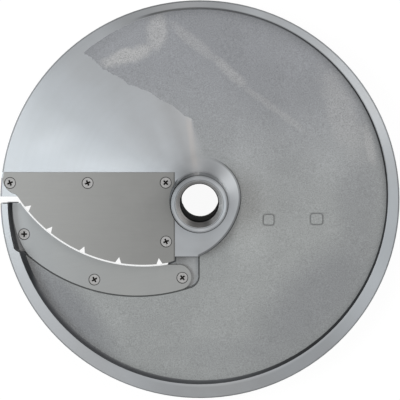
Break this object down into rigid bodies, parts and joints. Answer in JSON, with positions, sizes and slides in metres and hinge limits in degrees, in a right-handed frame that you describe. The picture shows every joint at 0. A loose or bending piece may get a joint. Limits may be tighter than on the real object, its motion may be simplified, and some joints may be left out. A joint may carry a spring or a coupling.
{
  "type": "slicing disc",
  "caption": "Round cast slicing disc with a raised hub, a sloping food channel, a screwed knife plate with a curved notched edge, and a curved insert plate below it.",
  "frame": {"origin": "on the shaft axis, at the lower end of the hub, on which the disc stands", "axes": "+Z along the shaft towards the food side with the knife; +X and +Y lie in the disc's plane, and the knife's straight back edge runs along X on the -X side"},
  "size_m": [0.205, 0.205, 0.041],
  "materials": {
    "aluminium": "cast, with turned faces",
    "stainless": "brushed"
  },
  "bodies": {
    "root": {"disc_body": "aluminium", "knife_plate": "stainless", "insert_plate": "stainless", "knife_screw_1": "stainless", "knife_screw_2": "stainless", "knife_screw_3": "stainless", "knife_screw_4": "stainless", "insert_screw_1": "stainless", "insert_screw_2": "stainless", "insert_screw_3": "stainless"}
  },
  "joints": []
}
